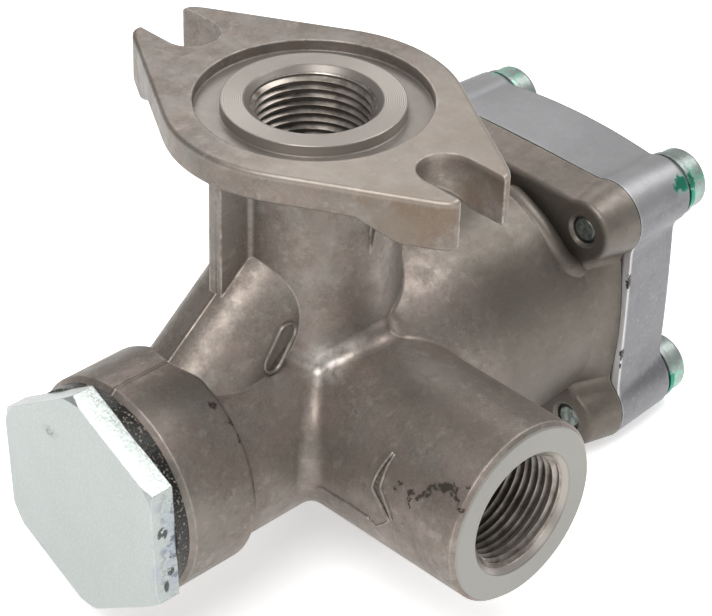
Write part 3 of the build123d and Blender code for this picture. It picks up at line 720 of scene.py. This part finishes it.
def plug_marks(tree, place, look):
    """Black grime on the plug's flats next to the seal, painted shade with dirt in the corners,
    painted shade on the side flat, nicks, faint spots and rubbed edges.
    """
    x, y = (add(tree, "ShaderNodeSeparateXYZ", {0: place}, out=axis) for axis in "XY")
    side = add(tree, "ShaderNodeMapRange",
               {"Value": y, **along(PLUG_FLAT_Y + 0.8, PLUG_FLAT_Y + 0.2)})
    flats = add(tree, "ShaderNodeMapRange",
                {"Value": x, **along(PLUG_FACE_X + 0.5, PLUG_FACE_X + 3.5)})
    smears = where_all(tree, blotches(tree, place, 1.3, 0.50, 0.58, 6.0),
                       blotches(tree, place, 6, 0.42, 0.56), flats, side)
    look = layer(tree, look, smears, 0.9, "#24272b", 0.6)
    # painted shade, with dirt, in the plug's corners
    look = layer(tree, look, corner_dirt_and_shade(tree, 1.6), 0.55, "#3a3c3c", 0.6)
    # painted shade: the flat facing -Y is painted a darker bluish grey
    side_flat_shade = where_all(tree, side, blotches(tree, place, 3, 0.42, 0.60))
    look = layer(tree, look, side_flat_shade, 0.5, "#99a2b3", 0.4)
    nicks = where_any(tree, dab(tree, place, (-48.5, PLUG_FLAT_Y, AXIS_Z + 3.7), 1.5, (1, 1, 0.8)),
                      dab(tree, place, (-47.3, PLUG_FLAT_Y, AXIS_Z - 4.1), 1.1),
                      dab(tree, place, (-48.4, PLUG_FLAT_Y, AXIS_Z - 6.5), 1.2, (1.4, 1, 0.6)))
    nicks = where_all(tree, nicks, blotches(tree, place, 1.1, 0.34, 0.50, 3.0))
    nicks = add(tree, "ShaderNodeMapRange", {"Value": nicks, **span(0.10, 0.35)})
    look = layer(tree, look, nicks, 0.8, "#24272b", 0.6)
    faint = where_any(tree, dab(tree, place, (PLUG_FACE_X, 11.1, AXIS_Z - 15.0), 1.3),
                      dab(tree, place, (PLUG_FACE_X, 6.8, AXIS_Z + 11.0), 1.5, (1, 0.6, 1)))
    faint = where_all(tree, faint, blotches(tree, place, 0.6, 0.42, 0.56, 2.0))
    look = layer(tree, look, faint, 0.7, "#6d7371", 0.5)
    sparkle = where_all(tree, blotches(tree, place, 0.42, 0.50, 0.60, 2.0), flats)
    look = layer(tree, look, sparkle, 0.26, "#7e8583", 0.5)
    return layer(tree, look, worn_edges(tree, 0.4), 0.22, "#eceeed", 0.32)


def zinc_plated(name, low, high, rough, marks):
    """Steel, turned or cold headed, zinc plated, with a pale bluish passivation.

    The plating is pale and even, a little cloudy, with a fine crystal sparkle where light
    glances, and bright where it is rubbed. The marks of use are the piece's own.
    """
    material, tree, place = start(name)
    normal = add(tree, "ShaderNodeBevel", {"Radius": 0.25 * MM}, samples=6)
    bloom = blotches(tree, place, 9, 0.34, 0.70)
    crystals = add(tree, "ShaderNodeTexNoise", {"Vector": place, "Scale": per(0.5),
                                                "Detail": 3.0})
    tone = add(tree, "ShaderNodeMix", {0: bloom, 6: linear(low), 7: linear(high)},
               out=2, data_type="RGBA")
    gloss = add(tree, "ShaderNodeMapRange",
                {"Value": bloom, **span(0, 1, rough, rough + 0.06)})
    spark = add(tree, "ShaderNodeMapRange", {"Value": crystals, **span(0.5, 0.68)})
    look = layer(tree, (tone, gloss), spark, 0.12, "#e6ebe9", 0.36)
    look = marks(tree, place, look)
    normal = add(tree, "ShaderNodeBump", {"Height": bloom, "Distance": 0.05 * MM,
                                          "Normal": normal})
    normal = add(tree, "ShaderNodeBump", {"Height": crystals, "Distance": 0.03 * MM,
                                          "Normal": normal})
    finish_with(tree, look, 0.85, normal)
    return material


def machined_metal(name, low, high, metallic, rough, mottle, marks, rounding=0.12):
    """A turned, ground or drawn metal: two close tones, fine tool marks, brighter edges."""
    material, tree, place = start(name)
    normal = add(tree, "ShaderNodeBevel", {"Radius": rounding * MM}, samples=6)
    clouds = blotches(tree, place, mottle, 0.3, 0.7)
    fine = add(tree, "ShaderNodeTexNoise", {"Vector": place, "Scale": per(marks), "Detail": 3.0})
    tone = add(tree, "ShaderNodeMix", {0: clouds, 6: linear(low), 7: linear(high)}, out=2,
               data_type="RGBA")
    gloss = add(tree, "ShaderNodeMapRange", {"Value": clouds, **span(0, 1, rough, rough + 0.1)})
    look = layer(tree, (tone, gloss), worn_edges(tree, 0.3), 0.5, high, rough)
    # painted shade, with dirt, in the inner corners
    look = layer(tree, look, corner_dirt_and_shade(tree, 1.0), 0.6, "#2a2622", 0.6)
    normal = add(tree, "ShaderNodeBump", {"Height": fine, "Distance": 0.015 * MM,
                                          "Normal": normal})
    finish_with(tree, look, metallic, normal)
    return material


def moulded_rubber():
    """Nitrile rubber, moulded: near black, with a dull bloom and a faint skin texture."""
    material, tree, place = start("nitrile_rubber_moulded")
    bloom = blotches(tree, place, 2.5, 0.35, 0.70)
    skin = add(tree, "ShaderNodeTexNoise", {"Vector": place, "Scale": per(0.5), "Detail": 3.0})
    tone = add(tree, "ShaderNodeMix", {0: bloom, 6: linear("#141312"), 7: linear("#262422")},
               out=2, data_type="RGBA")
    gloss = add(tree, "ShaderNodeMapRange", {"Value": bloom, **span(0, 1, 0.5, 0.7)})
    normal = add(tree, "ShaderNodeBump", {"Height": skin, "Distance": 0.03 * MM})
    finish_with(tree, (tone, gloss), 0.0, normal)
    return material


def grimy_rubber():
    """The plug's rubber seal: black and oily, with brown cast dust stuck to its rim."""
    material, tree, place = start("nitrile_rubber_grimy")
    crust = blotches(tree, place, 0.55, 0.53, 0.62, 6.0)
    skin = add(tree, "ShaderNodeTexNoise", {"Vector": place, "Scale": per(0.6), "Detail": 4.0})
    tone = add(tree, "ShaderNodeMix", {0: crust, 6: linear("#0b0a09"), 7: linear("#8d877b")},
               out=2, data_type="RGBA")
    gloss = add(tree, "ShaderNodeMapRange", {"Value": crust, **span(0, 1, 0.35, 0.7)})
    normal = add(tree, "ShaderNodeBump", {"Height": crust, "Distance": 0.15 * MM})
    normal = add(tree, "ShaderNodeBump", {"Height": skin, "Distance": 0.08 * MM,
                                          "Normal": normal})
    finish_with(tree, (tone, gloss), 0.0, normal)
    return material


def filled_ptfe():
    """Bronze-filled PTFE, turned: waxy brown with fine darker grains."""
    material, tree, place = start("filled_ptfe_turned")
    grains = blotches(tree, place, 0.4, 0.45, 0.60, 3.0)
    fine = add(tree, "ShaderNodeTexNoise", {"Vector": place, "Scale": per(0.3), "Detail": 2.0})
    tone = add(tree, "ShaderNodeMix", {0: grains, 6: linear("#6b5440"), 7: linear("#8a6c4d")},
               out=2, data_type="RGBA")
    gloss = add(tree, "ShaderNodeMapRange", {"Value": grains, **span(0, 1, 0.45, 0.6)})
    normal = add(tree, "ShaderNodeBump", {"Height": fine, "Distance": 0.02 * MM})
    finish_with(tree, (tone, gloss), 0.0, normal)
    return material


def dress(thing, material):
    thing.data.materials.clear()
    thing.data.materials.append(material)


def dress_pad(pad, rim, floor):
    """The pad's sunk floor is darker than its rim."""
    dress(pad, rim)
    pad.data.materials.append(floor)
    only(pad)
    bpy.ops.object.mode_set(mode="EDIT")
    front = min(corner.co.y for corner in bmesh.from_edit_mesh(pad.data).verts)
    floor_y = front + PAD_SINK * MM
    pick_faces(pad, lambda middle: abs(middle.y - floor_y) < 0.15 * MM)
    pad.active_material_index = 1
    bpy.ops.object.material_slot_assign()
    bpy.ops.object.mode_set(mode="OBJECT")


def shortening_spring():
    """The control spring's own mesh again, as a piece of its own on the housing."""
    spring = bpy.data.objects.new("control_spring_coil", nodes["control_spring"].data.copy())
    bpy.context.scene.collection.objects.link(spring)
    close_up(spring, 30)
    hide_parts("control_spring")
    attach(spring, "housing")
    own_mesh(spring)


# Studio

ROOM_LIGHT = 0.36
FLOOR_GLOW = 0.5
# each lamp's name, place, aim, width in metres and power in watts
LAMPS = [("key", (-0.45, -0.20, 0.70), (0, 0, -0.03), 0.50, 5.0),
         ("overhead", (0.44, -0.15, 0.62), (0, 0, -0.03), 0.40, 2.6),
         ("front", (-0.15, -0.75, 0.35), (0, 0, -0.05), 0.50, 0.8),
         ("back", (0.35, 0.60, 0.55), (0, 0, -0.04), 0.50, 1.5)]
# the photograph's camera, solved from the rings of both ports, the flange and the hexagon
LENS, SENSOR_WIDTH, LENS_SHIFT = 133.35, 36.0, (0.0029, -0.0066)
CAMERA_PLACE = (-0.254647, -0.261553, 0.208631)
CAMERA_RIGHT = (0.713609, -0.700143, 0.023703)
CAMERA_DOWN = (-0.379514, -0.414811, -0.826983)
CAMERA_AHEAD = (0.588839, 0.581146, -0.561727)


def paper_floor():
    """Pale paper: white to the camera and in reflections, with the object's shadow on it."""
    material, tree, place = start("paper_sweep_white")
    grain = add(tree, "ShaderNodeTexNoise", {"Vector": place, "Scale": per(3)})
    tone = add(tree, "ShaderNodeMix", {0: grain, 6: linear("#f2f2f2"), 7: linear("#f6f6f6")},
               out=2, data_type="RGBA")
    paper = add(tree, "ShaderNodeBsdfDiffuse", {"Color": tone})
    glow = add(tree, "ShaderNodeEmission", {"Color": (1, 1, 1, 1), "Strength": FLOOR_GLOW})
    lit = add(tree, "ShaderNodeAddShader", {0: paper, 1: glow})
    seen = where_any(tree, *[add(tree, "ShaderNodeLightPath", out=ray) for ray in
                             ("Is Camera Ray", "Is Glossy Ray", "Is Transmission Ray")])
    both = add(tree, "ShaderNodeMixShader", {0: seen, 1: paper, 2: lit})
    add(tree, "ShaderNodeOutputMaterial", {"Surface": both})
    return material


def sky():
    """Soft even room light, and plain white to the camera and through glass."""
    world = bpy.data.worlds.new("studio")
    bpy.context.scene.world = world
    world.use_nodes = True
    tree = world.node_tree
    tree.nodes.clear()
    seen = where_any(tree, *[add(tree, "ShaderNodeLightPath", out=ray) for ray in
                             ("Is Camera Ray", "Is Transmission Ray")])
    room = add(tree, "ShaderNodeBackground", {"Color": (1, 1, 1, 1), "Strength": ROOM_LIGHT})
    white = add(tree, "ShaderNodeBackground", {"Color": (1, 1, 1, 1), "Strength": 1.0})
    both = add(tree, "ShaderNodeMixShader", {0: seen, 1: room, 2: white})
    add(tree, "ShaderNodeOutputWorld", {"Surface": both})


def lamp(name, place, aim, size, watts):
    data = bpy.data.lights.new(name, "AREA")
    data.shape = "DISK"
    data.size = size
    data.energy = watts
    thing = bpy.data.objects.new(name, data)
    bpy.context.collection.objects.link(thing)
    thing.location = place
    thing.rotation_euler = (Vector(aim) - Vector(place)).to_track_quat("-Z", "Y").to_euler()


def stage():
    deselect()
    # a hair below the part, so that the two faces don't flicker
    bpy.ops.mesh.primitive_plane_add(size=6, location=(0, 0, cad_box[0][2] - 0.0002))
    floor = bpy.context.object
    floor.name = "floor"
    settle(floor)
    floor.data.materials.append(paper_floor())
    sky()
    for settings in LAMPS:
        lamp(*settings)


def photo_camera():
    """A long lens, turned a little about its line of sight, as in the photograph."""
    data = bpy.data.cameras.new("camera")
    data.sensor_width = SENSOR_WIDTH
    data.lens = LENS
    data.shift_x, data.shift_y = LENS_SHIFT
    data.clip_start, data.clip_end = 0.01, 20
    thing = bpy.data.objects.new("camera", data)
    bpy.context.collection.objects.link(thing)
    turn = Matrix((Vector(CAMERA_RIGHT), -Vector(CAMERA_DOWN),
                   -Vector(CAMERA_AHEAD))).transposed()
    thing.rotation_mode = "QUATERNION"
    thing.rotation_quaternion = turn.to_quaternion()
    thing.location = CAMERA_PLACE
    bpy.context.scene.camera = thing


def main():
    bpy.context.scene.view_settings.view_transform = "Standard"
    body, cover = cast_body(), cast_cover()
    turned = machined_metal("aluminium_turned_thread", "#6f6860", "#a9a199", 0.85, 0.30, 3, 0.4,
                            0.08)
    pad_floor = machined_metal("cast_aluminium_grimy", "#4a443e", "#6f675f", 0.6, 0.5, 1.2, 0.4)
    steel = machined_metal("steel_ground", "#8e8e8f", "#b5b5b6", 0.95, 0.26, 5, 0.4)
    spring = machined_metal("spring_steel_oiled", "#4c4b4b", "#77757a", 0.9, 0.34, 4, 0.5)
    brass = machined_metal("brass_turned", "#a5853f", "#d0b269", 0.95, 0.26, 5, 0.4)
    machined = machined_metal("aluminium_turned", "#a9a9ab", "#cfcfd1", 0.9, 0.30, 5, 0.4)
    plug_zinc = zinc_plated("steel_turned_zinc_plated", "#a9afac", "#aeb4b1", 0.30, plug_marks)
    screw_zinc = zinc_plated("steel_headed_zinc_plated", "#8b9490", "#a2aaa6", 0.42,
                             screw_marks)
    dark, wax = moulded_rubber(), filled_ptfe()
    finishes = {
        "body": body, "cover": cover, "cover_screws": screw_zinc, "hex_plug": plug_zinc,
        "plug_seal": grimy_rubber(), "cover_seal": dark, "inlet_valve": brass,
        "valve_rubber": dark, "valve_spring": spring, "stem_o_ring": dark, "push_tube": steel,
        "rod_bush": brass, "piston": machined, "piston_o_ring": dark, "piston_guide_ring": wax,
        "tube_o_ring": dark, "spring_washer": steel, "control_spring": spring,
        "spring_plate": plug_zinc, "adjusting_shims": steel, "vent_flap": dark}
    for name, thing in nodes.items():
        dress(thing, finishes[name])
    shortening_spring()
    pad = oval_pad()
    dress_pad(pad, body, pad_floor)
    threads = port_threads()
    for ridge in threads:
        dress(ridge, turned)
    beads = flow_mark() + parting_lines() + [pocket_rim()]
    for piece in beads:
        dress(piece, body)
    for piece in threads + beads + [pad]:
        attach(piece, "housing")
    stage()
    photo_camera()


main()
